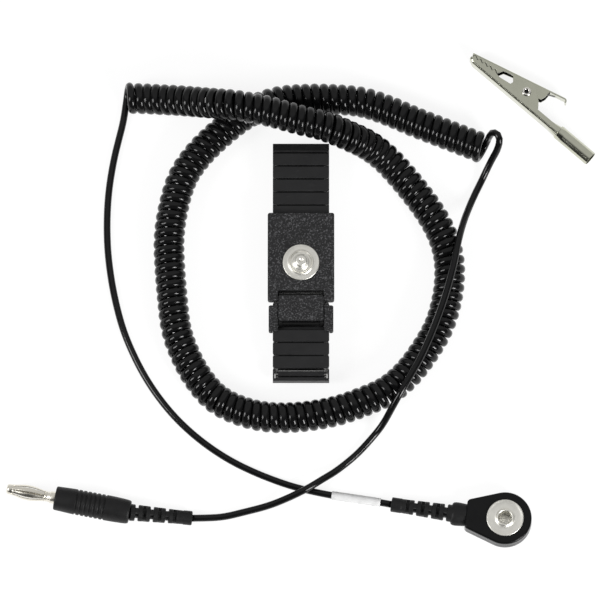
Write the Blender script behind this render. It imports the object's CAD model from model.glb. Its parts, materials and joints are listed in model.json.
import json
import math

import bpy
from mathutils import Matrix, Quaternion, Vector

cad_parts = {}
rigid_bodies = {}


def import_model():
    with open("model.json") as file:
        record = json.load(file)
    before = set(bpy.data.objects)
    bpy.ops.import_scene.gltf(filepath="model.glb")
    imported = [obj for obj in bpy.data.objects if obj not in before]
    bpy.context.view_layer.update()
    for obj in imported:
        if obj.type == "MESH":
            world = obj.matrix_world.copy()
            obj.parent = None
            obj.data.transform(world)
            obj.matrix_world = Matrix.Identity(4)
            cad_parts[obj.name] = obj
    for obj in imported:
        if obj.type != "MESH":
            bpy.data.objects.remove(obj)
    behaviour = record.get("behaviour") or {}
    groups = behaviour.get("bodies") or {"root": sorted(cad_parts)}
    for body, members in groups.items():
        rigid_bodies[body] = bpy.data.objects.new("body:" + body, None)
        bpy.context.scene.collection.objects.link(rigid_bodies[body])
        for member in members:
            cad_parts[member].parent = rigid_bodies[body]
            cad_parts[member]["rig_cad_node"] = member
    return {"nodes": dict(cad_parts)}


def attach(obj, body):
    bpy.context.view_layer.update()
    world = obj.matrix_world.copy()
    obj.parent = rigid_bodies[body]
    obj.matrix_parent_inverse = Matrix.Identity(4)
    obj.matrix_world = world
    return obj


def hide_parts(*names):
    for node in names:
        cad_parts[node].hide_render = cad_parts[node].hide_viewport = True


bl_info = {
    "name": "Earthing wrist strap",
    "version": (1, 0, 0),
    "blender": (4, 5, 0),
    "location": "3D View > Sidebar > Wrist strap",
    "description": "Expansion band with a snap clasp, a coiled cord and a crocodile clip",
    "category": "Object",
}

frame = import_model()
for spare in [o for o in bpy.data.objects if o.type in {"MESH", "LIGHT", "CAMERA"}]:
    if "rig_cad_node" not in spare:
        bpy.data.objects.remove(spare)
bpy.context.view_layer.update()

MM = 0.001
SAME_PLACE = 0.002      # corners nearer than this are one, in millimetres


# ---- settings

def size(name, text, default):
    """A length that the sidebar shows in the scene's units."""
    return bpy.props.FloatProperty(
        name=name, description=text, default=default, min=0.0, subtype="DISTANCE", precision=5)


def share(name, text, default):
    """A number from 0 to 1."""
    return bpy.props.FloatProperty(
        name=name, description=text, default=default, min=0.0, max=1.0, subtype="FACTOR")


def tint(name, text, default):
    """A linear colour."""
    return bpy.props.FloatVectorProperty(
        name=name, description=text, default=default, size=3, min=0.0, max=1.0, subtype="COLOR")


class StageSettings(bpy.types.PropertyGroup):
    """Camera, lamps and floor."""
    lens: bpy.props.FloatProperty(
        name="Lens", description="Focal length of the camera in millimetres",
        default=1500.0, min=20.0)
    distance: size("Distance", "From the camera to the point that it looks at", 7.8125)
    elevation: bpy.props.FloatProperty(
        name="Elevation", description="Camera's height angle over the floor",
        default=math.radians(77), subtype="ANGLE")
    floor: tint("Floor", "Colour of the floor", (0.86, 0.86, 0.86))
    background: share("Background", "Plain white in the floor that the camera sees", 0.86)
    shadow: share("Shadow", "How strongly the floor that the camera sees shows shadows", 0.22)
    ambient: share("Ambient", "Strength of the even light from all round", 0.26)
    overhead: share("Overhead", "How much stronger that light is straight above", 0.34)
    horizon: share(
        "Dark side", "Its strength on the near side, where bright metal mirrors the room", 0.03)


class CordSettings(bpy.types.PropertyGroup):
    """The cord with its coil."""
    diameter: size("Diameter", "Outer diameter of the jacket", 0.0022)
    coil_diameter: size("Coil diameter", "Over the outside of the coil", 0.0098)
    coil_width: size("Width in the coil", "Width of the cord where it is pressed oval", 0.0027)
    coil_thickness: size("Thickness in the coil", "Its thickness there", 0.0019)
    curls: bpy.props.IntProperty(
        name="Curls", description="Full turns of the coil", default=147, min=20)
    jacket: tint("Jacket", "Colour of the jacket", (0.004, 0.004, 0.0042))


class FinishSettings(bpy.types.PropertyGroup):
    """Colours of the parts."""
    links: tint("Links", "Coating of the band's links", (0.0135, 0.0135, 0.014))
    moulding: tint("Moulding", "Plastic of the clasp", (0.0135, 0.0135, 0.0141))
    rubber: tint("Rubber", "Grip and strain reliefs", (0.0085, 0.0085, 0.0087))
    housing: tint("Housing", "Plastic of the snap socket", (0.004, 0.004, 0.0042))
    nickel: tint("Nickel", "Bright plated metal", (0.88, 0.86, 0.80))
    label: tint("Label", "Marker sleeve on the cord", (0.62, 0.62, 0.62))


# ---- node helpers

def new_group(name, inputs, outputs):
    """Starts a shader node group with number or vector inputs and number outputs."""
    group = bpy.data.node_groups.new(name, "ShaderNodeTree")
    for label, default in inputs.items():
        kind = "NodeSocketFloat" if isinstance(default, float) else "NodeSocketVector"
        socket = group.interface.new_socket(name=label, in_out="INPUT", socket_type=kind)
        socket.default_value = default
    for label in outputs:
        group.interface.new_socket(name=label, in_out="OUTPUT", socket_type="NodeSocketFloat")
    return group, group.nodes.new("NodeGroupInput"), group.nodes.new("NodeGroupOutput")


def add(tree, kind, values=None, **settings):
    """Adds a node, sets its properties and fills or links its inputs."""
    node = tree.nodes.new("ShaderNode" + kind)
    for key, value in settings.items():
        setattr(node, key, value)
    for key, value in (values or {}).items():
        if isinstance(value, bpy.types.NodeSocket):
            tree.links.new(value, node.inputs[key])
        else:
            node.inputs[key].default_value = value
    return node


def math_node(tree, operation, a, b=0.0, clamp=False):
    """One arithmetic step."""
    return add(tree, "Math", {0: a, 1: b}, operation=operation, use_clamp=clamp).outputs[0]


def ramp(tree, factor, low, high, out_low=0.0, out_high=1.0):
    """Maps a range of values to another one, held at its ends."""
    return add(tree, "MapRange", {"Value": factor, "From Min": low, "From Max": high,
                                  "To Min": out_low, "To Max": out_high}).outputs[0]


def mix_colour(tree, factor, a, b):
    """Blends two colours."""
    a, b = (v if isinstance(v, bpy.types.NodeSocket) else (*v[:3], 1.0) for v in (a, b))
    return add(tree, "Mix", {0: factor, 6: a, 7: b}, data_type="RGBA").outputs[2]


def noise(tree, where, scale, detail, roughness=0.5):
    """Cloudy values between 0 and 1."""
    return add(tree, "TexNoise", {"Vector": where, "Scale": scale, "Detail": detail,
                                  "Roughness": roughness}).outputs["Fac"]


def grain_group():
    """Fine even texture of a moulded or coated surface: its height and a slow mottle."""
    group, given, out = new_group("Fine grain", {"Grain size": 0.0003, "Mottle size": 0.004},
                                  ("Height", "Mottle"))
    where = add(group, "TexCoord").outputs["Object"]
    for result, width, detail, roughness in (("Height", "Grain size", 3.0, 0.6),
                                             ("Mottle", "Mottle size", 4.0, 0.55)):
        scale = math_node(group, "DIVIDE", 1.0, given.outputs[width])
        group.links.new(noise(group, where, scale, detail, roughness), out.inputs[result])


def spark_group():
    """Spark-eroded mould texture: rounded pits and the pale specks on their crests."""
    group, given, out = new_group("Spark texture", {"Pit size": 0.0004, "Speck share": 0.25},
                                  ("Height", "Specks"))
    where = add(group, "TexCoord").outputs["Object"]
    scale = math_node(group, "DIVIDE", 1.0, given.outputs["Pit size"])
    bent = noise(group, where, scale, 2.0)
    pits = add(group, "TexVoronoi", {"Vector": where, "Scale": scale, "Randomness": 1.0},
               feature="SMOOTH_F1").outputs["Distance"]
    height = math_node(group, "ADD", math_node(group, "MULTIPLY", pits, 0.7),
                       math_node(group, "MULTIPLY", bent, 0.6))
    crest = math_node(group, "SUBTRACT", 0.66,
                      math_node(group, "MULTIPLY", given.outputs["Speck share"], 0.3))
    above = math_node(group, "SUBTRACT", bent, crest)
    specks = math_node(group, "MULTIPLY", above, 7.0, clamp=True)
    group.links.new(height, out.inputs["Height"])
    group.links.new(specks, out.inputs["Specks"])


def scratch_group():
    """Fine scratches and handling marks: a height, and a mask that dulls the gloss."""
    group, given, out = new_group(
        "Handling marks", {"Scratch size": 0.0006, "Along": (1.0, 12.0, 1.0)}, ("Height", "Dull"))
    where = add(group, "TexCoord").outputs["Object"]
    drawn = add(group, "VectorMath", {0: where, 1: given.outputs["Along"]}, operation="MULTIPLY")
    scale = math_node(group, "DIVIDE", 1.0, given.outputs["Scratch size"])
    smear = noise(group, where, 260.0, 5.0, 0.6)
    group.links.new(noise(group, drawn.outputs[0], scale, 4.0, 0.7), out.inputs["Height"])
    group.links.new(ramp(group, smear, 0.42, 0.72), out.inputs["Dull"])


def use(tree, name, **values):
    """Places a shared group in a material with its own values."""
    node = tree.nodes.new("ShaderNodeGroup")
    node.node_tree = bpy.data.node_groups[name]
    for key, value in values.items():
        node.inputs[key.replace("_", " ").capitalize()].default_value = value
    return node


def new_material(name, fixed):
    """A material with one Principled shader, whose constant values are set on its sockets."""
    made = bpy.data.materials.new(name)
    made.use_nodes = True
    for label, value in fixed.items():
        made.node_tree.nodes["Principled BSDF"].inputs[label].default_value = value
    return made, made.node_tree


def link_finish(made, colour, gloss, height, depth):
    """Links a colour, a roughness and a height of 0 to 1, as a bump of a real depth."""
    tree = made.node_tree
    bump = add(tree, "Bump", {"Height": height, "Distance": depth, "Strength": 1.0})
    for label, value in (("Base Color", colour), ("Roughness", gloss),
                         ("Normal", bump.outputs["Normal"])):
        tree.links.new(value, tree.nodes["Principled BSDF"].inputs[label])
    return made


def mottled(tree, grain, colour, low, high):
    """A colour that gets darker and paler over the mottle."""
    return mix_colour(tree, grain.outputs["Mottle"], [c * low for c in colour],
                      [min(1.0, c * high) for c in colour])


def dulled(tree, marks, smooth, dull):
    """A roughness that rises where handling has dulled the surface."""
    return ramp(tree, marks.outputs["Dull"], 0.0, 1.0, smooth, dull)


# ---- materials

def cord_material(colour):
    """Glossy flexible jacket with a faint unevenness."""
    made, tree = new_material("Glossy jacket", {"IOR": 1.5, "Specular IOR Level": 0.25})
    grain = use(tree, "Fine grain", grain_size=0.0012, mottle_size=0.006)
    marks = use(tree, "Handling marks", scratch_size=0.0004)
    gloss = math_node(tree, "ADD", ramp(tree, grain.outputs["Mottle"], 0.3, 0.7, 0.1, 0.15),
                      math_node(tree, "MULTIPLY", marks.outputs["Dull"], 0.06))
    return link_finish(made, mottled(tree, grain, colour, 0.8, 1.5), gloss,
                       grain.outputs["Height"], 0.00003)


def link_material(colour):
    """Satin black coating with fine rubbing marks across the band."""
    made, tree = new_material("Black link coating", {"IOR": 1.5, "Specular IOR Level": 0.22})
    grain = use(tree, "Fine grain", grain_size=0.00025, mottle_size=0.005)
    marks = use(tree, "Handling marks", scratch_size=0.0006, along=(0.25, 3.0, 3.0))
    rubbed = math_node(tree, "MULTIPLY", ramp(tree, marks.outputs["Height"], 0.55, 0.75),
                       marks.outputs["Dull"], clamp=True)
    shade = mix_colour(tree, math_node(tree, "MULTIPLY", rubbed, 0.35),
                       mottled(tree, grain, colour, 0.75, 1.35), (0.07, 0.07, 0.072))
    return link_finish(made, shade, dulled(tree, marks, 0.38, 0.5),
                       grain.outputs["Height"], 0.000012)


def moulding_material(colour):
    """Charcoal plastic with the texture of a spark-eroded mould."""
    made, tree = new_material("Charcoal moulding", {"IOR": 1.48, "Specular IOR Level": 0.25})
    spark = use(tree, "Spark texture", pit_size=0.00042, speck_share=0.42)
    grain = use(tree, "Fine grain", grain_size=0.00018, mottle_size=0.0035)
    shade = mix_colour(tree, math_node(tree, "MULTIPLY", spark.outputs["Specks"], 0.75),
                       mottled(tree, grain, colour, 0.7, 1.35), [min(1.0, c * 8.5) for c in colour])
    return link_finish(made, shade, ramp(tree, spark.outputs["Specks"], 0.0, 1.0, 0.62, 0.45),
                       spark.outputs["Height"], 0.00016)


def rubber_material(name, colour, smooth, dull, gloss):
    """Satin moulded rubber or soft plastic."""
    made, tree = new_material(name, {"IOR": 1.5, "Specular IOR Level": gloss})
    grain = use(tree, "Fine grain", grain_size=0.0002, mottle_size=0.004)
    marks = use(tree, "Handling marks", scratch_size=0.0005)
    return link_finish(made, mottled(tree, grain, colour, 0.75, 1.4),
                       dulled(tree, marks, smooth, dull), grain.outputs["Height"], 0.00002)


def metal_material(name, colour, smooth, dull, drawn=(1.0, 6.0, 1.0), depth=0.000004):
    """Plated or bare metal with fine drawing marks and dull smears."""
    made, tree = new_material(name, {"Metallic": 1.0})
    grain = use(tree, "Fine grain", grain_size=0.0005, mottle_size=0.003)
    marks = use(tree, "Handling marks", scratch_size=0.0005, along=drawn)
    return link_finish(made, mottled(tree, grain, colour, 0.9, 1.06),
                       dulled(tree, marks, smooth, dull), marks.outputs["Height"], depth)


def label_material(colour):
    """White shrink sleeve, slightly soiled."""
    made, tree = new_material("White sleeve", {"IOR": 1.48})
    grain = use(tree, "Fine grain", grain_size=0.0004, mottle_size=0.0025)
    mottle = grain.outputs["Mottle"]
    shade = mix_colour(tree, ramp(tree, mottle, 0.45, 0.75), colour, [c * 0.86 for c in colour])
    return link_finish(made, shade, ramp(tree, mottle, 0.3, 0.7, 0.3, 0.42),
                       grain.outputs["Height"], 0.00002)


def lacquer_material():
    """Beige lacquer of a resistor."""
    made, tree = new_material("Resistor lacquer", {"IOR": 1.5})
    grain = use(tree, "Fine grain", grain_size=0.0003, mottle_size=0.002)
    mottle = grain.outputs["Mottle"]
    shade = mix_colour(tree, mottle, (0.62, 0.46, 0.28), (0.72, 0.56, 0.36))
    return link_finish(made, shade, ramp(tree, mottle, 0.3, 0.7, 0.25, 0.4),
                       grain.outputs["Height"], 0.00002)


def build_materials(finish, cord):
    """All shared groups and finishes, by a short name."""
    grain_group()
    spark_group()
    scratch_group()
    return {
        "jacket": cord_material(cord.jacket),
        "links": link_material(finish.links),
        "black": rubber_material("Blackened hinge", (0.004, 0.004, 0.004), 0.25, 0.34, 0.3),
        "moulding": moulding_material(finish.moulding),
        "rubber": rubber_material("Moulded rubber", finish.rubber, 0.42, 0.54, 0.2),
        "housing": rubber_material("Housing plastic", finish.housing, 0.2, 0.3, 0.16),
        "bright": metal_material("Bright nickel", finish.nickel, 0.1, 0.17, depth=0.0000015),
        "plug": metal_material("Plug nickel", (0.84, 0.805, 0.715), 0.27, 0.36, depth=0.000002),
        "clip": metal_material("Clip nickel", (0.585, 0.59, 0.485), 0.13, 0.2, depth=0.0000012),
        "inside": rubber_material("Dull inside", (0.006, 0.006, 0.0055), 0.5, 0.65, 0.15),
        "satin": metal_material("Satin nickel", (0.88, 0.865, 0.805), 0.4, 0.5, depth=0.000002),
        "steel": metal_material("Spring steel", (0.62, 0.62, 0.61), 0.22, 0.36, (1.0, 1.0, 8.0)),
        "label": label_material(finish.label),
        "lacquer": lacquer_material(),
    }


FINISH = {}


# ---- mesh helpers

def deselect():
    """Nothing selected and object mode, before an operator adds or edits."""
    if bpy.context.object and bpy.context.object.mode != "OBJECT":
        bpy.ops.object.mode_set(mode="OBJECT")
    bpy.ops.object.select_all(action="DESELECT")


def take(piece):
    """Object mode with only this piece selected and active."""
    deselect()
    piece.select_set(True)
    bpy.context.view_layer.objects.active = piece


def edit(piece, kind="VERT", test=None):
    """Edit mode on a piece, with all of it selected or only the corners or edges that pass."""
    take(piece)
    bpy.ops.object.mode_set(mode="EDIT")
    bpy.ops.mesh.select_mode(type=kind)
    bpy.ops.mesh.select_all(action="DESELECT" if test else "SELECT")
    if not test:
        return
    bpy.ops.object.mode_set(mode="OBJECT")
    corners = piece.data.vertices
    if kind == "EDGE":
        for edge in piece.data.edges:
            edge.select = test(*(corners[v].co / MM for v in edge.vertices))
    else:
        for corner in corners:
            corner.select = test(corner.co / MM)
    bpy.ops.object.mode_set(mode="EDIT")


def outward():
    """Selects a whole piece in edit mode and turns its faces outward."""
    bpy.ops.mesh.select_all(action="SELECT")
    bpy.ops.mesh.normals_make_consistent(inside=False)


def bevel_edges(piece, width, segments, test):
    """Rounds the edges that pass a test."""
    edit(piece, "EDGE", test)
    bpy.ops.mesh.bevel(offset=width * MM, segments=segments, affect="EDGES")


def shift(x, y, z):
    """Settings of a move by millimetres, for the extrude operators."""
    return {"value": (x * MM, y * MM, z * MM)}


def chain(name, points, closed=False):
    """A row of edges through points in millimetres, extruded corner by corner."""
    deselect()
    start = Vector(points[0])
    bpy.ops.mesh.primitive_plane_add(size=MM, location=start * MM)
    piece = bpy.context.object
    piece.name = piece.data.name = name
    bpy.ops.object.transform_apply(location=True, rotation=False, scale=False)
    edit(piece)
    bpy.ops.mesh.merge(type="CENTER")
    for a, b in zip(points, points[1:]):
        bpy.ops.mesh.extrude_region_move(TRANSFORM_OT_translate=shift(*(Vector(b) - Vector(a))))
    if closed:
        end = Vector(points[-1])
        edit(piece, "VERT", lambda p: (p - start).length < 0.001 or (p - end).length < 0.001)
        bpy.ops.mesh.edge_face_add()
    take(piece)
    return piece


def plate(name, outline, low, high):
    """A flat piece: a closed outline in X and Y, filled and drawn up from one height to another."""
    piece = chain(name, [(x, y, low) for x, y in outline], closed=True)
    edit(piece)
    bpy.ops.mesh.edge_face_add()
    bpy.ops.mesh.extrude_region_move(TRANSFORM_OT_translate=shift(0, 0, high - low))
    outward()
    take(piece)
    return piece


def block(name, low, high):
    """A plate with four corners."""
    (x0, y0, z0), (x1, y1, z1) = low, high
    return plate(name, [(x0, y0), (x1, y0), (x1, y1), (x0, y1)], z0, z1)


def turned(name, profile, axis="X", steps=48, sweep=360):
    """A turned piece: a profile of places along the axis and radii, spun round it."""
    upright = axis == "Z"
    piece = chain(name, [(r, 0, u) if upright else (u, 0, r) for u, r in profile])
    edit(piece)
    bpy.ops.mesh.spin(steps=steps, angle=math.radians(sweep), center=(0, 0, 0),
                      axis=(0, 0, 1) if upright else (1, 0, 0))
    bpy.ops.mesh.select_all(action="SELECT")
    bpy.ops.mesh.remove_doubles(threshold=SAME_PLACE * MM)
    outward()
    take(piece)
    return piece


def wire(name, points, diameter):
    """Round wire bent through points in millimetres."""
    piece = chain(name, points)
    bpy.ops.object.convert(target="CURVE")
    piece.data.bevel_depth = diameter / 2 * MM
    piece.data.bevel_resolution = 3
    piece.data.use_fill_caps = True
    bpy.ops.object.convert(target="MESH")
    return piece


def modify(piece, kind, **settings):
    """Adds a modifier and applies it."""
    take(piece)
    made = piece.modifiers.new(kind.title(), kind)
    for key, value in settings.items():
        setattr(made, key, value)
    bpy.ops.object.modifier_apply(modifier=made.name)


def rounded(piece, width, segments=3, sharp=40):
    """Rounds every edge sharper than an angle."""
    modify(piece, "BEVEL", width=width * MM, segments=segments, limit_method="ANGLE",
           angle_limit=math.radians(sharp))


def cut(piece, *tools):
    """Takes other solids out of a piece."""
    for tool in tools:
        modify(piece, "BOOLEAN", object=tool, operation="DIFFERENCE", solver="EXACT")
        bpy.data.objects.remove(tool)


def join(piece, *others):
    """Makes one piece of several."""
    take(piece)
    for other in others:
        other.select_set(True)
    bpy.ops.object.join()
    return piece


def arc(radius, start, end, steps):
    """Points on an arc between two angles in degrees."""
    turns = [math.radians(start + (end - start) * i / steps) for i in range(steps + 1)]
    return [(radius * math.cos(a), radius * math.sin(a)) for a in turns]


def place(piece, at, turn=0.0, along=None):
    """Moves a piece that was made at the origin to its seat, turned about Z or along a line."""
    take(piece)
    piece.location = at
    piece.rotation_mode = "QUATERNION"
    piece.rotation_quaternion = (
        Vector(along).to_track_quat("X", "Z") if along else Quaternion((0, 0, 1), turn))
    bpy.ops.object.transform_apply(location=True, rotation=True, scale=True)
    piece.rotation_mode = "XYZ"


def rolled(piece, degrees):
    """Turns a piece about X."""
    take(piece)
    piece.rotation_euler = (math.radians(degrees), 0, 0)
    bpy.ops.object.transform_apply(location=False, rotation=True, scale=False)


def coat(piece, *finishes):
    """Adds finishes to a piece."""
    for finish in finishes:
        piece.data.materials.append(FINISH[finish])


def finished(piece, finish, slot, *nodes, body="clasp", smooth_under=38):
    """Shades a piece, gives it its finish, if it has none yet, and puts it on its body in place
    of its CAD nodes."""
    take(piece)
    bpy.ops.object.shade_smooth_by_angle(angle=math.radians(smooth_under))
    modify(piece, "WEIGHTED_NORMAL", keep_sharp=True)
    if finish:
        piece.data.materials.clear()
        coat(piece, finish)
    stands_for(piece, body, slot, *nodes)


def stands_for(piece, body, slot, *nodes):
    """Puts a finished piece on its body in place of its CAD nodes."""
    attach(piece, body)
    if nodes:
        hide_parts(*nodes)


# ---- cord

# Routes in millimetres. A place without a height lies at the resting height.
COIL_Z = 4.92
LEAD_Z = 1.1
COIL_ROUTE = [
    (-54.6, 53.9), (-49, 53.7, 5), (-44, 53.2, 6), (-38, 52.4, 8), (-31.6, 51.2, 10.8),
    (-25.5, 50, 13.8), (-19.4, 49, 15.5), (-10.6, 47.2, 15.7), (-5, 45.7, 15.6), (0.6, 44.2, 15.4),
    (5.9, 43, 15.1), (10, 41.7, 14.4), (14.9, 40, 12.4), (20.2, 38.2, 9.2), (24.8, 35.6, 6.4),
    (29.1, 31.7, 5.1), (34.8, 24.9), (39.8, 18), (43.6, 11.2), (46, 3.7), (46.4, -4), (45.4, -11.5),
    (43.2, -19), (39.2, -26.4), (33.5, -34.2), (27, -39.9), (18.8, -43.7), (10.2, -46.6),
    (0, -48.3), (-10, -48.4), (-18.8, -46.4), (-26.4, -42.4), (-32.2, -35.7), (-36.4, -27.8),
    (-39, -19.9), (-40.2, -10), (-41, 0), (-41.2, 9), (-40, 18), (-37.2, 27.8), (-32.3, 35.4),
    (-25.3, 42.5), (-17.2, 48.8), (-8, 52.6), (2, 53.6), (12, 53.4), (20, 52.4), (28, 49.6),
    (36, 46.1), (46, 42.1), (57.3, 37.6),
]
SNAP_ROUTE = [
    (-56, 45.6), (-58.4, 35.5), (-60, 25.5), (-60.6, 16), (-60.4, 6.5), (-59.4, -2.5), (-57.8, -11),
    (-55.5, -19.5), (-52.3, -27.5), (-48.2, -35.4), (-43.2, -42.8), (-37.4, -49.5), (-30.4, -55.7),
    (-22.5, -61.1), (-14, -65.4), (-5, -68.9), (2, -70.9), (9.6, -72.6, 1.4), (17.2, -73.8, 1.65),
    (24.8, -75, 1.9),
]
PLUG_ROUTE = [
    (59.7, 41.7, 9.2), (60.9, 41.3, 10.8), (61.8, 40.2, 11.2), (62, 38.6, 10.2), (61.2, 36.4, 7.6),
    (59.6, 34, 4.8), (58, 31.2, 2.6), (56.3, 27.8, 1.3), (54.4, 23.9), (52.6, 19.5, 2.2),
    (50.8, 13.9, 5.6), (49.2, 7, 9.8), (47.7, -1, 11.4), (45.1, -10.8, 11.6), (41.7, -20.6, 11.6),
    (37.7, -30, 11.5), (33.6, -37.5, 11.3), (30.8, -42.2, 10.4), (28.3, -46.2, 7.6),
    (25.9, -49.8, 4), (23.1, -53.2, 1.8), (17.6, -59.2), (11.5, -64.4, 1.4), (6.4, -68, 2.9),
    (1.6, -71.1, 3.7), (-3.8, -73.6, 2.8), (-10, -75.8, 1.3), (-17.4, -77.8), (-25, -79.5, 1.2),
]
MARKER_ENDS = Vector((0.0096, -0.0726, 0.0014)), Vector((0.0248, -0.075, 0.0019))
SNAP_RELIEF_AT = Vector((0.0282, -0.0757, 0.0023))
PLUG_RELIEF_END = Vector((-0.034, -0.0801, 0.00225))
GRIP_FRONT = Vector((-0.0767, -0.074, 0.004))
PLUG_TURN = math.radians(-11.1)
GRIP_LENGTH = 0.0238
SOCKET_AT = Vector((0.0636, -0.0808, 0.0))
SOCKET_TURN = math.radians(-7.1)
NECK_LENGTH = 0.0116
ROOT_LENGTH = 0.0053
SOCKET_SPLIT = 3        # height of the seam between the socket's halves, in millimetres
LEAVES = 8
LEAF_SWEEP = 34
LEAF_STEPS = 16
START_TURN = math.radians(270)
RINGS_A_TURN = 20
CORD_SIDES = 12
LEAD_STEP = 0.0015
COIL_PARTS = 8          # of a smooth line between two places of a route
LEAD_PARTS = 12


def route(places, rest):
    """The places of a route in metres."""
    return [Vector((x, y, *(height or (rest,)))) * MM for x, y, *height in places]


def curve_point(p0, p1, p2, p3, t):
    """Point between p1 and p2 on a smooth curve through four points."""
    return (2 * p1 + (p2 - p0) * t + (2 * p0 - 5 * p1 + 4 * p2 - p3) * t * t
            + (3 * p1 - p0 - 3 * p2 + p3) * t ** 3) / 2


def smooth(points, steps):
    """The points again, with others between them on a smooth curve."""
    p, last = points, len(points) - 1
    return [curve_point(p[max(i - 1, 0)], p[i], p[i + 1], p[min(i + 2, last)], k / steps)
            for i in range(last) for k in range(steps)] + [p[last]]


class Track:
    """A chain of points that can be read at any distance along it."""

    def __init__(self, points):
        self.points = points
        self.runs = [0.0]
        for a, b in zip(points, points[1:]):
            self.runs.append(self.runs[-1] + (b - a).length)
        self.length = self.runs[-1]

    def at(self, s):
        """The point at a distance from the start."""
        s = min(max(s, 0.0), self.length)
        low, high = 0, len(self.runs) - 1
        while high - low > 1:
            middle = (low + high) // 2
            low, high = (middle, high) if self.runs[middle] <= s else (low, middle)
        step = self.runs[high] - self.runs[low]
        return self.points[low].lerp(self.points[high], (s - self.runs[low]) / step)

    def heading(self, s):
        """The direction there."""
        return (self.at(s + MM) - self.at(s - MM)).normalized()


def ring_frames(line, first_side):
    """Directions along the line, and sides square to it that don't twist about it."""
    last = len(line) - 1
    along = [(line[min(i + 1, last)] - line[max(i - 1, 0)]).normalized() for i in range(last + 1)]
    sides = [(first_side - first_side.dot(along[0]) * along[0]).normalized()]
    for t in along[1:]:
        sides.append((sides[-1] - sides[-1].dot(t) * t).normalized())
    return along, sides


def coil_rings(given):
    """Centres, directions and outward sides of the cord's rings round the coil's axis."""
    axis = Track(smooth(route(COIL_ROUTE, COIL_Z), COIL_PARTS))
    total = math.tau * given.curls + math.pi / 2
    steps = round(RINGS_A_TURN * total / math.tau)
    radius = (given.coil_diameter - given.coil_thickness) / 2
    centres, along, sides = [], [], []
    for i in range(steps + 1):
        s, turn = axis.length * i / steps, START_TURN + total * i / steps
        t = axis.heading(s)
        n = Vector((0, 0, 1)).cross(t).normalized()
        b = t.cross(n)
        out = math.cos(turn) * n + math.sin(turn) * b
        heading = (axis.length / total * t
                   + radius * (math.cos(turn) * b - math.sin(turn) * n)).normalized()
        centres.append(axis.at(s) + radius * out)
        along.append(heading)
        sides.append((out - out.dot(heading) * heading).normalized())
    return centres, along, sides


def lead_line(places):
    """Closely spaced points along a smooth lead, none below the surface it lies on."""
    track = Track(smooth(places, LEAD_PARTS))
    count = round(track.length / LEAD_STEP)
    points = [track.at(track.length * i / count) for i in range(count + 1)]
    return [Vector((p.x, p.y, max(p.z, LEAD_Z * MM))) for p in points]


def cord_rings(given):
    """Rings of the whole cord from the socket to the plug: centre, direction, side, and how
    far the ring is pressed oval, which it is in the coil."""
    centres, along, sides = coil_rings(given)
    gap = given.diameter
    start, end = centres[0], centres[-1]
    to_snap = lead_line([start, start - gap * along[0], start - 2 * gap * along[0],
                         *route(SNAP_ROUTE, LEAD_Z), SNAP_RELIEF_AT])
    to_plug = lead_line([end, end + gap * along[-1], *route(PLUG_ROUTE, LEAD_Z), PLUG_RELIEF_END])
    snap_along, snap_sides = ring_frames(to_snap, sides[0])
    plug_along, plug_sides = ring_frames(to_plug, sides[-1])
    rings = [(p, -t, n, 0.0) for p, t, n in zip(to_snap, snap_along, snap_sides)][:0:-1]
    last = len(centres) - 1
    for i, (p, t, n) in enumerate(zip(centres, along, sides)):
        rings.append((p, t, n, min(1.0, i / RINGS_A_TURN, (last - i) / RINGS_A_TURN)))
    rings += [(p, t, n, 0.0) for p, t, n in zip(to_plug, plug_along, plug_sides)][1:]
    return rings


def ring_corners(ring, given):
    """Points round one ring of the cord."""
    centre, t, n, pressed = ring
    side = t.cross(n)
    round_r = given.diameter / 2
    high = round_r + pressed * (given.coil_thickness / 2 - round_r)
    wide = round_r + pressed * (given.coil_width / 2 - round_r)
    return [centre + high * math.cos(a) * n + wide * math.sin(a) * side
            for a in (math.tau * k / CORD_SIDES for k in range(CORD_SIDES))]


class STRAP_OT_cord(bpy.types.Operator):
    """Add the cord: one length with its coil and both leads"""
    bl_idname = "wrist_strap.cord"
    bl_label = "Cord"

    def execute(self, context):
        given = context.scene.strap_cord
        rings = cord_rings(given)
        corners = [c for ring in rings for c in ring_corners(ring, given)]
        rows = [tuple(range(i, i + CORD_SIDES)) for i in range(0, len(corners), CORD_SIDES)]
        faces = [(a[k], a[(k + 1) % CORD_SIDES], b[(k + 1) % CORD_SIDES], b[k])
                 for a, b in zip(rows, rows[1:]) for k in range(CORD_SIDES)]
        faces += [rows[0][::-1], rows[-1]]
        mesh = bpy.data.meshes.new("coiled_cord")
        mesh.from_pydata(corners, [], faces)
        mesh.polygons.foreach_set("use_smooth", [True] * len(faces))
        mesh.materials.append(FINISH["jacket"])
        cord = bpy.data.objects.new("coiled_cord", mesh)
        context.scene.collection.objects.link(cord)
        stands_for(cord, "clasp", "cord_jacket", "lead_to_plug", "coil_cord", "lead_to_snap")
        return {"FINISHED"}


# ---- clasp

def mirrored(right):
    """An outline that is the same on both sides of the Y axis."""
    return right + [(-x, y) for x, y in reversed(right)]


LEVER_PIN_AT = (0, -19.2 * MM, 8.3 * MM)


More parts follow.
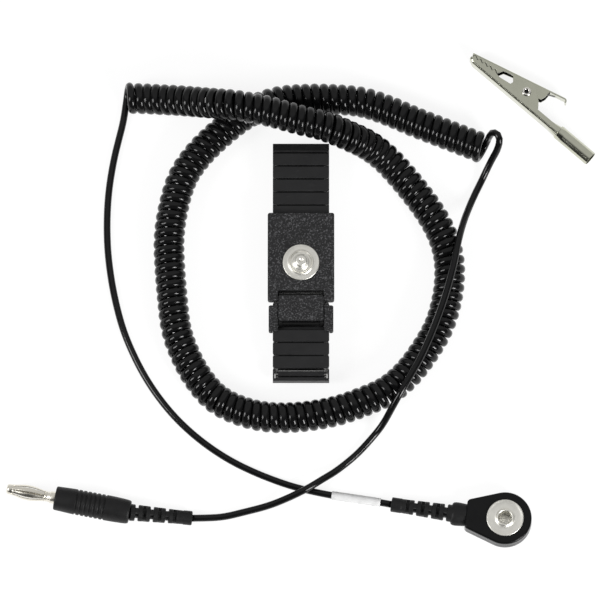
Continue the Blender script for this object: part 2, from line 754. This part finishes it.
class STRAP_OT_clasp(bpy.types.Operator):
    """Model the moulded clasp: the shell, the latch cheeks and the clamping lever"""
    bl_idname = "wrist_strap.clasp"
    bl_label = "Clasp mouldings"

    def execute(self, context):
        shell = plate("clasp_shell", mirrored([
            (7.2, -8.83), (7.2, -12.1), (10.4, -12.1), (10.4, 16.0)]), 6.3, 9.9)
        bevel_edges(shell, 0.7, 4, lambda a, b: abs(a.z - b.z) > 1 and abs(a.x) > 10)
        cut(shell, block("tunnel", (-8.85, 12.6, 0), (8.85, 20, 8.9)))
        rounded(shell, 0.32)
        finished(shell, "moulding", "clasp_plastic", "clasp_body")

        cheeks = plate("latch_cheeks", mirrored([
            (9.75, -21.9), (10.1, -21.55), (10.1, -13.95), (9.75, -13.6), (8.6, -13.6),
            (7.9, -12.9)]), 6.3, 9.55)
        cut(cheeks, block("lever_room", (-7.2, -18.0, 8.2), (7.2, 0, 20)),
            block("hinge_room", (-7.2, -23, 5), (7.2, -17.7, 20)),
            block("tunnel", (-8.85, -23, 0), (8.85, -19.9, 8.9)))
        rounded(cheeks, 0.26)
        bed = block("lever_bed", (-7.05, -14.6, 6.3), (7.05, -9.33, 7.3))
        rounded(bed, 0.2)
        coat(cheeks, "moulding")
        coat(bed, "black")
        join(cheeks, bed)
        finished(cheeks, None, "clasp_plastic", "latch_frame")

        flap = plate("clamp_lever", mirrored([(7.05, -18.5), (7.05, -10.45)]), 8.3, 9.9)
        bevel_edges(flap, 0.5, 3, lambda a, b: abs(a.z - b.z) > 1)
        scoop = turned("scoop", [(-9, 0), (-9, 0.6), (9, 0.6), (9, 0)], steps=24)
        place(scoop, (0, -10.45 * MM, 8.3 * MM))
        cut(flap, scoop)
        rounded(flap, 0.3)
        knuckles = []
        for side in (-1, 1):
            eye = turned("knuckle", [
                (side * u, r) for u, r in ((5.95, 0.65), (5.95, 0.9), (6.05, 1.0), (6.95, 1.0),
                                           (7.05, 0.9), (7.05, 0.65), (5.95, 0.65))])
            place(eye, LEVER_PIN_AT)
            arm = block("knuckle_arm", (side * 6.5 - 0.55, -19.2, 8.35),
                        (side * 6.5 + 0.55, -17.9, 9.2))
            rounded(arm, 0.12)
            knuckles += [eye, arm]
        finished(flap, "moulding", "clasp_plastic", "latch_lever", body="lever")
        finished(join(*knuckles), "black", "clasp_plastic", body="lever")
        return {"FINISHED"}


STUD_PROFILE = [
    (12.5, 0), (12.54, 0.25), (12.68, 0.45), (12.88, 0.62), (12.95, 0.85), (12.94, 1.2),
    (12.88, 1.5), (12.72, 1.75), (12.5, 1.9), (12.25, 1.94), (12.05, 1.86), (11.9, 1.66),
    (11.7, 1.58), (11.2, 1.6), (11.05, 1.75), (10.9, 2.2), (10.78, 2.5), (10.6, 2.62),
    (10.42, 2.68), (10.36, 2.85), (10.36, 3.25), (10.42, 3.4), (10.6, 3.48), (10.68, 3.62),
    (10.67, 3.75), (10.58, 3.86), (10.42, 3.94), (10.33, 4.1), (10.29, 4.5), (10.3, 5.1),
    (10.36, 5.4), (10.37, 5.55), (10.31, 5.68), (10.18, 5.74), (10.03, 5.71), (9.93, 5.6),
    (9.91, 5.4), (9.91, 0),
]


class STRAP_OT_stud(bpy.types.Operator):
    """Turn the press stud with its flange, raised ring and dimpled head"""
    bl_idname = "wrist_strap.stud"
    bl_label = "Press stud"

    def execute(self, context):
        stud = turned("press_stud", STUD_PROFILE, axis="Z", steps=64)
        finished(stud, "satin", "nickel", "snap_stud", smooth_under=50)
        return {"FINISHED"}


# ---- plug, socket and marker

CORE_PROFILE = [
    (-15.3, 0), (-15.3, 0.9), (-15.2, 1.25), (-15.0, 1.48), (-14.7, 1.6), (-13.7, 1.66),
    (-13.45, 1.6), (-13.3, 1.2), (-13.1, 0.9), (-3.4, 0.9), (-3.3, 1.5), (-3.1, 1.64), (-2.6, 1.64),
    (-2.5, 1.54), (-2.3, 1.54), (-2.2, 1.64), (-1.7, 1.64), (-1.6, 1.7), (-1.5, 1.84), (-1.35, 1.9),
    (-0.1, 1.9), (0, 1.5), (6, 1.5), (6, 0),
]
DISC_PROFILE = [
    (1.5, 0), (1.5, 3.55), (2.8, 3.55), (2.8, 2.05), (6.4, 2.05), (6.62, 2.1), (6.76, 2.22),
    (6.8, 2.38), (6.76, 2.55), (6.64, 2.68), (6.48, 2.8), (6.36, 3.0), (6.28, 3.3), (6.24, 3.8),
    (6.26, 4.4), (6.32, 4.9), (6.42, 5.3), (6.49, 5.5), (6.48, 5.66), (6.38, 5.77), (6.22, 5.79),
    (6.08, 5.7), (6.02, 5.55), (6.02, 2.42), (3.15, 2.42), (3.15, 3.9), (1.25, 3.9), (1.25, 0),
]
ROOT_PROFILE = [
    (-5.3, 0), (-5.3, 2.7), (-5.2, 3.15), (-4.95, 3.45), (-4.55, 3.64), (-4.0, 3.72), (-3.2, 3.72),
    (-2.0, 3.62), (-0.9, 3.5), (0.4, 3.45), (0.4, 0),
]


def boot(name, length, front, end, first, collar, roll):
    """Slotted strain relief along X: ribs round a core, bridged by webs that turn by a quarter."""
    core, slot, pitch, soft, half_web = 1.45, 1.0, 2.38, 0.18, 0.85
    slots = [first + i * pitch for i in range(6)]

    def taper(x):
        return front + (end - 0.2 - front) * x / length

    profile, x = [(0, 0)], 0.0
    for wall in slots + [length - collar]:
        last = wall > slots[-1]
        r0, r1 = taper(x), taper(wall)
        profile += [(x, r0 - soft), (x + 0.1, r0 - 0.08), (x + soft, r0)]
        if last:
            profile += [(wall - 0.1, r1), (wall, end - 0.05), (wall + 0.15, end),
                        (length - soft, end), (length - 0.08, end - 0.08), (length, end - soft),
                        (length, 0)]
        else:
            profile += [(wall - soft, r1), (wall - 0.1, r1 - 0.08), (wall, r1 - soft),
                        (wall, core), (wall + slot, core)]
            x = wall + slot
    relief = turned(name, profile, steps=40)
    webs = []
    for i, at in enumerate(slots):
        high = math.sqrt(taper(at) ** 2 - half_web ** 2)
        web = block("web", (at - 0.2, -half_web, -high), (at + slot + 0.2, half_web, high))
        rounded(web, 0.15, 2)
        rolled(web, roll + 90 * (i % 2))
        webs.append(web)
    return join(relief, *webs)


def grip_profile():
    """Front face, shoulder, seven ring grooves and rear chamfer of the plug's grip."""
    profile = [(0, 1.52), (0, 3.3), (0.06, 3.5), (0.22, 3.66), (0.5, 3.74), (2.5, 3.83),
               (5.0, 3.95)]
    for i in range(7):
        at = 6.7 + i * 1.45
        profile += [(at - 0.16, 4.0), (at, 3.9), (at + 0.06, 3.7), (at + 0.44, 3.7),
                    (at + 0.5, 3.9), (at + 0.66, 4.0)]
    return profile + [(18.6, 3.98), (21.5, 3.86), (23.0, 3.74), (23.5, 3.6), (23.73, 3.4),
                      (23.8, 3.1), (23.8, 1.6)]


class STRAP_OT_plug(bpy.types.Operator):
    """Model the plug: turned core, bowed leaves, grip and slotted strain relief"""
    bl_idname = "wrist_strap.plug"
    bl_label = "Plug"

    def execute(self, context):
        grip = turned("plug_sleeve", grip_profile(), steps=64)
        place(grip, GRIP_FRONT, PLUG_TURN)
        finished(grip, "rubber", "moulded_rubber", "plug_grip", smooth_under=50)

        core = turned("plug_core", CORE_PROFILE)
        place(core, GRIP_FRONT, PLUG_TURN)
        finished(core, "plug", "nickel", "banana_core", smooth_under=50)
        bow = [(-13.5 + 10.2 * i / LEAF_STEPS,
                1.54 + 0.76 * math.sin(math.pi * i / LEAF_STEPS) ** 1.3)
               for i in range(LEAF_STEPS + 1)]
        leaves = []
        for i in range(LEAVES):
            leaf = turned("plug_leaves", bow, steps=5, sweep=LEAF_SWEEP)
            modify(leaf, "SOLIDIFY", thickness=0.26 * MM, offset=0)
            edit(leaf)
            outward()
            rounded(leaf, 0.08, 2)
            rolled(leaf, 360 / LEAVES * (i + 0.5) - LEAF_SWEEP / 2)
            leaves.append(leaf)
        spring = join(*leaves)
        place(spring, GRIP_FRONT, PLUG_TURN)
        finished(spring, "plug", "nickel", "banana_lantern_spring", smooth_under=50)

        rear = GRIP_FRONT + GRIP_LENGTH * Vector((math.cos(PLUG_TURN), math.sin(PLUG_TURN), 0))
        run = PLUG_RELIEF_END - rear
        relief = boot("plug_boot", run.length / MM, 2.65, 2.25, 1.6, 2.7, -8)
        place(relief, rear, along=run)
        finished(relief, "rubber", "moulded_rubber", "plug_strain_relief")
        return {"FINISHED"}


def teardrop():
    """Outline of the socket's housing: a disc with a neck."""
    r, neck, half = 8.3, 12.3, 4.5
    touch = math.degrees(math.acos(r / math.hypot(neck, half)) + math.atan2(half, neck))
    return arc(r, touch - 180, 180 - touch, 60) + [(-neck, half), (-neck, -half)]


def level(height):
    """Test for edges that lie flat at a height."""
    return lambda a, b: abs(a.z - height) < 0.01 and abs(b.z - height) < 0.01


class STRAP_OT_socket(bpy.types.Operator):
    """Model the snap socket: two housing halves, the contact disc and the strain relief"""
    bl_idname = "wrist_strap.socket"
    bl_label = "Snap socket"

    def execute(self, context):
        for name, node, low, outer in (("socket_base", "snap_housing_base", 0, 0),
                                       ("socket_cover", "snap_housing_cover", SOCKET_SPLIT, 6)):
            half = plate(name, teardrop(), low, low + SOCKET_SPLIT)
            bevel_edges(half, 0.9, 4, lambda a, b: abs(a.z - b.z) > 1 and a.x < -11)
            bevel_edges(half, 0.65, 4, level(outer))
            bevel_edges(half, 0.14, 2, level(SOCKET_SPLIT))
            cut(half, turned("seat", [(1.2, 0), (1.2, 5.0), (7, 5.0), (7, 0)], "Z"))
            place(half, SOCKET_AT, SOCKET_TURN)
            finished(half, "housing", "moulded_rubber", node)

        disc = turned("contact_disc", DISC_PROFILE, axis="Z", steps=64)
        place(disc, SOCKET_AT, SOCKET_TURN)
        finished(disc, "satin", "nickel", "snap_disc", smooth_under=50)

        direction = Vector((math.cos(SOCKET_TURN), math.sin(SOCKET_TURN), 0))
        seam = Vector((0, 0, SOCKET_SPLIT * MM))
        root_end = SOCKET_AT - (NECK_LENGTH + ROOT_LENGTH) * direction + seam
        run = SNAP_RELIEF_AT - root_end
        sunk = 0.8
        relief = boot("socket_boot", run.length / MM + sunk, 2.75, 2.3, 2.1, 3.2, 8)
        place(relief, root_end - sunk * MM * run.normalized(), along=run)
        root = turned("boot_root", ROOT_PROFILE)
        edit(root)
        bpy.ops.transform.resize(value=(1, 1, 0.78))
        place(root, (-NECK_LENGTH, 0, SOCKET_SPLIT * MM))
        place(root, SOCKET_AT, SOCKET_TURN)
        join(relief, root)
        finished(relief, "rubber", "moulded_rubber", "snap_strain_relief")
        return {"FINISHED"}


class STRAP_OT_marker(bpy.types.Operator):
    """Model the white sleeve that marks the cord"""
    bl_idname = "wrist_strap.marker"
    bl_label = "Marker sleeve"

    def execute(self, context):
        start, end = MARKER_ENDS
        length = (end - start).length / MM
        bulge = [(length * i / 12, 1.37 + 0.03 * math.sin(i * 2.1)) for i in range(1, 12)]
        sleeve = turned("marker_sleeve", [
            (0, 1.16), (0, 1.3), (0.08, 1.37), *bulge, (length - 0.08, 1.37), (length, 1.3),
            (length, 1.16), (0, 1.16)], steps=40)
        place(sleeve, start, along=end - start)
        finished(sleeve, "label", "label_film", "label_sleeve", smooth_under=50)
        return {"FINISHED"}


# ---- clip

CLIP_AT = Vector((0.0706, 0.0558, 0.0))
CLIP_TURN = math.radians(-41)
SHEET = 0.5
BITE = ((-20.2, -2.6), (-10.85, -1.8))
TEETH = 5
TOOTH_HEIGHT = 0.8
BACK_RISE = (6.9 + 1.3) / (11.8 + 20.9)
BARREL_PROFILE = [
    (15.5, 2.05), (15.5, 2.22), (15.7, 2.3), (28.6, 2.3), (28.75, 2.26), (28.8, 2.18),
    (28.75, 2.07), (28.6, 2.05), (15.5, 2.05),
]
RIVET_PROFILE = [
    (0, 0.55), (0, 1.45), (0.1, 1.45), (0.1, 1.05), (5.9, 1.05), (5.9, 1.4), (6.0, 1.46),
    (6.12, 1.42), (6.22, 1.25), (6.25, 1.05), (6.22, 0.8), (6.1, 0.66), (5.9, 0.59), (0, 0.55),
]


def teeth(start, end, lead, lift=0.0):
    """Saw teeth between two points: one flank steep, the other gentle."""
    points = []
    for i in range(TEETH):
        for part, rise in ((0.0, 0.0), (lead, TOOTH_HEIGHT)):
            f = (i + part) / TEETH
            points.append((start[0] + (end[0] - start[0]) * f,
                           start[1] + (end[1] - start[1]) * f + rise + lift))
    return points


def back(x, drop=0.0):
    """A place on the sloping back of the upper jaw, or under it."""
    return x, -1.3 + (x + 20.9) * BACK_RISE - drop


def channel(name, outline, inner, low, high, radius, bend, out):
    """Bent sheet: an outline drawn across the full width, its back edges rounded, hollowed, and
    dull on the inside. The outer face of its back looks along Y, up or down."""
    piece = plate(name, outline, low, high)
    bevel_edges(piece, radius, 5, lambda a, b: abs(a.z - b.z) < 0.01 and bend(a) and bend(b))
    cut(piece, plate("hollow", inner, low + SHEET, high - SHEET),
        turned("rivet_hole", [(low - 1, 0), (low - 1, 1.1), (high + 1, 1.1), (high + 1, 0)], "Z"))
    rounded(piece, 0.09, 2, 60)
    coat(piece, "clip", "inside")
    for face in piece.data.polygons:
        heights = [piece.data.vertices[v].co.z / MM for v in face.vertices]
        if (min(heights) > low + SHEET - 0.02 and max(heights) < high - SHEET + 0.02
                and face.normal.y * out < 0.3):
            face.material_index = 1
    return piece


class STRAP_OT_clip(bpy.types.Operator):
    """Model the crocodile clip: both jaws of bent sheet, the rivet and the spring"""
    bl_idname = "wrist_strap.clip"
    bl_label = "Crocodile clip"

    def execute(self, context):
        lower = channel(
            "jaw_lower",
            [(-20.5, -2.7), *teeth(*BITE, 0.27), (-10.85, -1.8), (-9.4, -2.0), (-5.5, -1.4),
             (-5.2, -0.3), *arc(3.2, 132, 35, 10), (4.8, 0.2), (5.5, -0.8), (6.2, -2.0),
             (16.0, -2.0), (16.0, -4.2), (-18.9, -4.2), (-20.5, -3.5)],
            [(-20.0, 4), (-20.0, -3.2), (-18.7, -3.7), (17.0, -3.7), (17.0, 4)],
            0.1, 5.9, 0.85, lambda p: p.y < -3.4, -1)
        barrel = turned("barrel", BARREL_PROFILE)
        place(barrel, (0, -2.75 * MM, 3 * MM))
        cut(barrel, block("seam", (15, -2.75, 2.9), (30, 0.5, 3.1)))
        waist = neck()
        for part in (barrel, waist):
            coat(part, "clip")
        join(lower, barrel, waist)
        place(lower, CLIP_AT, CLIP_TURN)
        finished(lower, None, "nickel", "clip_lower_jaw")

        upper = channel(
            "jaw_upper",
            [back(-20.9), back(5.4), (5.4, 2.6), (4.9, 1.1), (2.5, 0.0), *arc(2.5, -15, -165, 10),
             (-4.4, -1.4), (-5.3, -0.3), (-6.8, 1.4), (-9.9, 0.4),
             *teeth(BITE[1], BITE[0], 0.73, 0.3), (-20.4, -2.3)],
            [back(-20.2, SHEET), back(7.0, SHEET), (7.0, -5), (-20.2, -5)],
            0.7, 5.3, 0.42, lambda p: p.y > back(p.x, 0.05)[1], 1)
        upper = join(upper, tab())
        place(upper, CLIP_AT, CLIP_TURN)
        finished(upper, None, "nickel", "clip_upper_jaw", body="clip_jaw")

        rivet = turned("jaw_rivet", RIVET_PROFILE, axis="Z", steps=40)
        coat(rivet, "bright", "inside")
        for face in rivet.data.polygons:
            face.material_index = int(face.center.xy.length < 0.6 * MM)
        place(rivet, CLIP_AT, CLIP_TURN)
        finished(rivet, None, "nickel", "clip_rivet", smooth_under=50)

        low, pitch, turns, radius, steps = 1.75, 1.0, 2.5, 2.15, 20
        curls = [(x, y, low + pitch * i / steps) for i, (x, y) in enumerate(
            arc(radius, -90, -90 - 360 * turns, int(turns * steps)))]
        high = low + pitch * turns
        spring = wire("jaw_spring", [
            (9, -3.4, low), (6.4, -3.3, low), (3.6, -2.85, low), (1.6, -2.35, low), *curls], 0.5)
        place(spring, CLIP_AT, CLIP_TURN)
        finished(spring, "steel", "spring_steel", "clip_spring", smooth_under=60)
        leg = wire("spring_leg", [
            *curls[-8:], (1.6, 2.35, high), (3.6, 3.1, high), (5.2, 3.8, high),
            (7.6, 4.9, high)], 0.52)
        place(leg, CLIP_AT, CLIP_TURN)
        finished(leg, "steel", "spring_steel", body="clip_jaw", smooth_under=60)
        return {"FINISHED"}


def neck():
    """Where the channel of the arm closes to the round barrel."""
    box_ring = [(11.2, -3.1 + 1.08 * c, 3.0 + 2.88 * s) for c, s in squared(0.28)]
    barrel_ring = [(18.2, -2.75 + 2.28 * c, 3.0 + 2.28 * s) for c, s in squared(1.0)]
    waist = join(chain("waist", box_ring, closed=True), chain("ring", barrel_ring, closed=True))
    edit(waist)
    bpy.ops.mesh.bridge_edge_loops(number_cuts=6, interpolation="SURFACE", smoothness=0.6)
    outward()
    modify(waist, "SOLIDIFY", thickness=0.2 * MM, offset=-1.0)
    return waist


def squared(power):
    """Points round a unit circle, pushed out towards a square as the power falls."""
    ring = []
    for i in range(32):
        a = math.tau * i / 32
        c, s = math.cos(a), math.sin(a)
        ring.append((math.copysign(abs(c) ** power, c), math.copysign(abs(s) ** power, s)))
    return ring


def tab():
    """Thumb tab: the back of the jaw runs on past its cheeks and curls down at the end."""
    slope = math.atan(BACK_RISE)
    path = [back(px, 0.01) for px in (5.3, 7.6, 9.8, 10.4)]
    x, y = path[-1]
    for i in range(1, 9):
        a = slope - math.radians(15 * i)
        x, y = x + 0.24 * math.cos(a), y + 0.24 * math.sin(a)
        path.append((x, y))
    ribbon = chain("tab", [(px, py, 1.0) for px, py in path])
    edit(ribbon)
    bpy.ops.mesh.extrude_region_move(TRANSFORM_OT_translate=shift(0, 0, 4.0))
    modify(ribbon, "SOLIDIFY", thickness=SHEET * MM, offset=1.0)
    edit(ribbon)
    outward()
    rounded(ribbon, 0.12, 2)
    coat(ribbon, "clip")
    return ribbon


# ---- CAD pieces that stay

MICRONS = 1e6           # in a metre


def islands(mesh):
    """Faces grouped by touching corners, with corners at one place counted as one."""
    corner = [tuple(round(c * MICRONS) for c in v.co) for v in mesh.vertices]
    parent = {key: key for key in corner}

    def root(key):
        while parent[key] != key:
            parent[key] = parent[parent[key]]
            key = parent[key]
        return key

    for face in mesh.polygons:
        first = root(corner[face.vertices[0]])
        for v in face.vertices[1:]:
            parent[root(corner[v])] = first
    groups = {}
    for face in mesh.polygons:
        groups.setdefault(root(corner[face.vertices[0]]), []).append(face)
    return list(groups.values())


def finish_node(name, *finishes):
    """Gives a CAD node its finishes."""
    node = frame["nodes"][name]
    node.data.materials.clear()
    coat(node, *finishes)
    return node.data


def breadth(mesh, faces):
    """How far a group of faces reaches across the band."""
    places = [mesh.vertices[v].co.x for face in faces for v in face.vertices]
    return max(places) - min(places)


# Where the near fold's edge has lost its coating, in millimetres
RUBBED_EDGE = Vector((0, -34.08, 7.33))
RUBBED_WIDTH = 0.3
SLEEVE_WIDTH = 0.012    # in metres; a wider solid is the sleeve of a link


class STRAP_OT_band(bpy.types.Operator):
    """Finish the band's links: coated sleeves, bare staples and leaf springs"""
    bl_idname = "wrist_strap.band"
    bl_label = "Band"

    def execute(self, context):
        for name in frame["nodes"]:
            if not name.startswith("band_"):
                continue
            mesh = finish_node(name, "links", "steel")
            for group in islands(mesh):
                sleeve = breadth(mesh, group) > SLEEVE_WIDTH
                for face in group:
                    worn = (face.center / MM - RUBBED_EDGE) * Vector((0, 1, 1))
                    face.material_index = 0 if sleeve and worn.length > RUBBED_WIDTH else 1
        return {"FINISHED"}


class STRAP_OT_hardware(bpy.types.Operator):
    """Finish the inner pieces"""
    bl_idname = "wrist_strap.hardware"
    bl_label = "Inner pieces"

    def execute(self, context):
        for finish, names in (
                ("steel", ("clasp_backplate", "stud_rivet", "snap_ring_spring")),
                ("black", ("latch_pin",)),
                ("lacquer", ("resistor",))):
            for name in names:
                finish_node(name, finish)
        return {"FINISHED"}


# ---- stage

def floor_material(given):
    """Pale floor that shows as nearly plain white to the camera and keeps soft shadows."""
    made = bpy.data.materials.new("Studio floor")
    made.use_nodes = True
    tree = made.node_tree
    tree.nodes.clear()
    path = add(tree, "LightPath")
    seen = math_node(tree, "ADD", path.outputs["Is Camera Ray"],
                     math_node(tree, "ADD", path.outputs["Is Glossy Ray"],
                               path.outputs["Is Transmission Ray"]), clamp=True)
    cloth = add(tree, "BsdfDiffuse", {"Color": mix_colour(
        tree, seen, given.floor, [c * given.shadow for c in given.floor])})
    plain = add(tree, "Emission", {
        "Color": (1.0, 1.0, 1.0, 1.0),
        "Strength": math_node(tree, "MULTIPLY", seen, given.background)})
    both = add(tree, "AddShader", {0: cloth.outputs[0], 1: plain.outputs[0]})
    add(tree, "OutputMaterial", {"Surface": both.outputs[0]})
    return made


def lamp(name, where, across, along, watts):
    """A rectangular softbox that looks at the origin."""
    data = bpy.data.lights.new(name, "AREA")
    data.shape = "RECTANGLE"
    data.size, data.size_y = across, along
    data.energy = watts
    made = bpy.data.objects.new(name, data)
    made.location = where
    made.rotation_euler = (-Vector(where)).to_track_quat("-Z", "Y").to_euler()
    bpy.context.scene.collection.objects.link(made)


class STRAP_OT_stage(bpy.types.Operator):
    """Add the floor, the even light, the lamps and the camera"""
    bl_idname = "wrist_strap.stage"
    bl_label = "Stage"

    def execute(self, context):
        given = context.scene.strap_stage
        scene = context.scene
        scene.view_settings.view_transform = "Standard"
        deselect()
        bpy.ops.mesh.primitive_plane_add(size=6.0, location=(0, 0, -0.00002))
        floor = context.object
        floor.name = "studio_floor"
        floor.data.materials.append(floor_material(given))

        world = bpy.data.worlds.new("Studio")
        scene.world = world
        world.use_nodes = True
        tree = world.node_tree
        shade = tree.nodes["Background"]
        path = add(tree, "LightPath")
        towards = add(tree, "SeparateXYZ", {0: add(tree, "TexCoord").outputs["Generated"]}).outputs
        overhead = ramp(tree, towards["Z"], 0.6, 0.95, 0.0, given.overhead)
        even = math_node(tree, "ADD", overhead, given.ambient)
        back_wall = math_node(tree, "MULTIPLY", towards["Y"], 1.2)
        behind = math_node(tree, "ADD", towards["Z"], back_wall)
        mirrored_room = ramp(tree, behind, 0.55, 1.08, given.horizon,
                             given.ambient + given.overhead)
        change = math_node(tree, "MULTIPLY", path.outputs["Is Glossy Ray"],
                           math_node(tree, "SUBTRACT", mirrored_room, even))
        tree.links.new(math_node(tree, "MAXIMUM", math_node(tree, "ADD", even, change),
                                 path.outputs["Is Camera Ray"]), shade.inputs["Strength"])
        shade.inputs["Color"].default_value = (1.0, 1.0, 1.0, 1.0)

        lamp("Left softbox", (-0.91, -0.28, 0.72), 0.36, 0.66, 8.0)
        lamp("Right softbox", (0.70, -0.79, 0.58), 0.34, 0.56, 13.2)

        target = Vector((-0.00031, -0.00975, 0.0))
        data = bpy.data.cameras.new("Camera")
        data.lens = given.lens
        data.sensor_width = 36.0
        data.clip_start, data.clip_end = 0.05, 20.0
        camera = bpy.data.objects.new("Camera", data)
        away = Vector((0, -math.cos(given.elevation), math.sin(given.elevation)))
        camera.location = target + away * given.distance
        camera.rotation_euler = (-away).to_track_quat("-Z", "Y").to_euler()
        scene.collection.objects.link(camera)
        scene.camera = camera
        return {"FINISHED"}


# ---- sidebar

class STRAP_PT_pieces(bpy.types.Panel):
    """Lists the steps and their settings"""
    bl_label = "Wrist strap"
    bl_idname = "STRAP_PT_pieces"
    bl_space_type = "VIEW_3D"
    bl_region_type = "UI"
    bl_category = "Wrist strap"

    def draw(self, context):
        scene = context.scene
        for label, settings in (("Stage", scene.strap_stage), ("Cord", scene.strap_cord),
                                ("Finishes", scene.strap_finish)):
            box = self.layout.box()
            box.label(text=label)
            for key in settings.__annotations__:
                box.prop(settings, key)
        for step in STEPS:
            self.layout.operator(step.bl_idname)


STEPS = (STRAP_OT_stage, STRAP_OT_plug, STRAP_OT_socket, STRAP_OT_marker, STRAP_OT_cord,
         STRAP_OT_band, STRAP_OT_clasp, STRAP_OT_stud, STRAP_OT_clip, STRAP_OT_hardware)
CLASSES = (StageSettings, CordSettings, FinishSettings, *STEPS, STRAP_PT_pieces)


def register():
    for cls in CLASSES:
        bpy.utils.register_class(cls)
    bpy.types.Scene.strap_stage = bpy.props.PointerProperty(type=StageSettings)
    bpy.types.Scene.strap_cord = bpy.props.PointerProperty(type=CordSettings)
    bpy.types.Scene.strap_finish = bpy.props.PointerProperty(type=FinishSettings)


def unregister():
    for name in ("strap_stage", "strap_cord", "strap_finish"):
        delattr(bpy.types.Scene, name)
    for cls in reversed(CLASSES):
        bpy.utils.unregister_class(cls)


def main():
    register()
    scene = bpy.context.scene
    FINISH.update(build_materials(scene.strap_finish, scene.strap_cord))
    for step in STEPS:
        getattr(bpy.ops.wrist_strap, step.bl_idname.split(".")[1])()


if __name__ == "__main__":
    main()
